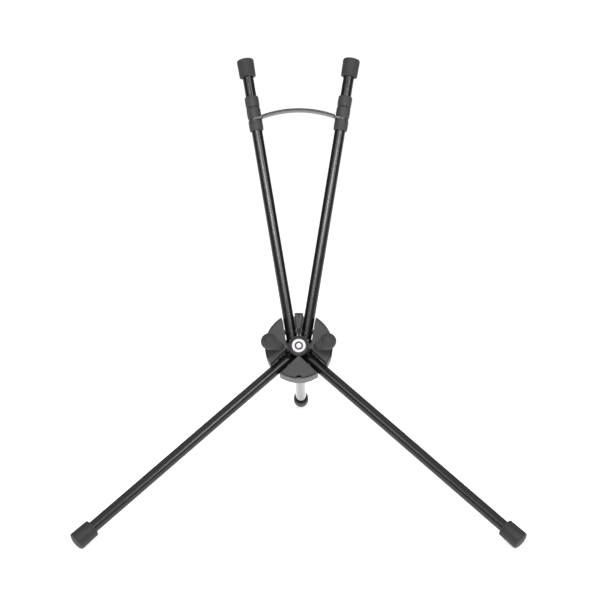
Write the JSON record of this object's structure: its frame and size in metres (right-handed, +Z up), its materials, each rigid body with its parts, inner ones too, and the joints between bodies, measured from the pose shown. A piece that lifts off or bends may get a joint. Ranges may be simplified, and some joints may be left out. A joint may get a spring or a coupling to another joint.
{
  "type": "instrument stand",
  "caption": "Folding floor stand for a wind instrument: round hub, three floor legs, two raised arms joined by a band, two cradle pegs and a release button.",
  "frame": {"origin": "on the floor, under the middle of the stand's footprint box", "axes": "+Z up, +Y towards the rear leg, +X to the right as seen by a person standing in front"},
  "size_m": [0.529, 0.5412, 0.5418],
  "materials": {
    "rubber_caps": "matt moulded rubber",
    "peg_rubber": "soft matt rubber",
    "ring_rubber": "matt rubber",
    "band_rubber": "smooth flexible rubber",
    "black_tube": "black powder coat, semi gloss",
    "chrome_tube": "bright plated",
    "hub_plastic": "fine grained moulding",
    "shell_plastic": "black fine grained moulding",
    "button_black": "smooth",
    "button_white": "printed disc",
    "inner_plastic": "moulded nylon",
    "steel": "zinc plated"
  },
  "bodies": {
    "hub": {"arm_axle": "steel", "cover_screws": "steel", "hub_front_cover": "hub_plastic", "hub_rear_shell": "shell_plastic", "leg_pin_left": "steel", "leg_pin_right": "steel", "peg_left": "peg_rubber", "peg_pin_left": "steel", "peg_pin_right": "steel", "peg_right": "peg_rubber", "rear_foot": "rubber_caps", "rear_leg_roll_pin": "steel", "rear_leg_socket": "shell_plastic", "rear_leg_tube": "chrome_tube", "return_spring": "steel", "socket_screws": "steel"},
    "button": {"push_button": "button_black", "button_disc": "button_white", "lock_spindle": "steel", "lock_collar": "inner_plastic", "spindle_clip": "steel"},
    "arm_left": {"arm_left_tube": "black_tube", "arm_left_plug": "inner_plastic", "arm_left_bush": "inner_plastic", "arm_cap_left": "rubber_caps"},
    "leg_left": {"leg_left_tube": "black_tube", "leg_left_plug": "inner_plastic", "leg_left_bush": "inner_plastic", "foot_left": "rubber_caps"},
    "rings_left": {"ring_upper_left": "ring_rubber", "ring_middle_left": "ring_rubber", "ring_lower_left": "ring_rubber", "band_eye_left": "band_rubber", "band": "band_rubber"},
    "arm_right": {"arm_right_tube": "black_tube", "arm_right_plug": "inner_plastic", "arm_right_bush": "inner_plastic", "arm_cap_right": "rubber_caps"},
    "leg_right": {"leg_right_tube": "black_tube", "leg_right_plug": "inner_plastic", "leg_right_bush": "inner_plastic", "foot_right": "rubber_caps"},
    "rings_right": {"ring_upper_right": "ring_rubber", "ring_middle_right": "ring_rubber", "ring_lower_right": "ring_rubber", "band_eye_right": "band_rubber"}
  },
  "joints": [
    {"name": "button_press", "type": "slide", "parent": "hub", "child": "button", "axis": [0, 0.8788, -0.4772], "range_m": [0, 0.0045], "stiffness_N_per_m": 400, "springref_m": -0.003, "deforming": ["return_spring"]},
    {"name": "arm_fold", "type": "hinge", "parent": "hub", "child": "arm_left", "pos_m": [0, -0.04271, 0.20164], "axis": [-1, 0, 0], "range_deg": [0, 99]},
    {"name": "arm_fold_right", "type": "hinge", "parent": "hub", "child": "arm_right", "pos_m": [0, -0.04271, 0.20164], "axis": [-1, 0, 0], "range_deg": [0, 99]},
    {"name": "leg_fold_left", "type": "hinge", "parent": "hub", "child": "leg_left", "pos_m": [-0.01786, -0.06156, 0.16694], "axis": [0.6997, -0.3409, -0.6279], "range_deg": [0, 104]},
    {"name": "leg_fold_right", "type": "hinge", "parent": "hub", "child": "leg_right", "pos_m": [0.01786, -0.06156, 0.16694], "axis": [0.6997, 0.3409, 0.6279], "range_deg": [0, 104]},
    {"name": "ring_slide_left", "type": "slide", "parent": "arm_left", "child": "rings_left", "axis": [0.1642, -0.3252, -0.9313], "range_m": [0, 0.11], "deforming": ["band"]},
    {"name": "ring_slide_right", "type": "slide", "parent": "arm_right", "child": "rings_right", "axis": [-0.1642, -0.3252, -0.9313], "range_m": [0, 0.11]}
  ],
  "couplings": [
    {"joint": "arm_fold_right", "follows": "arm_fold", "ratio": 1},
    {"joint": "ring_slide_right", "follows": "ring_slide_left", "ratio": 1}
  ]
}
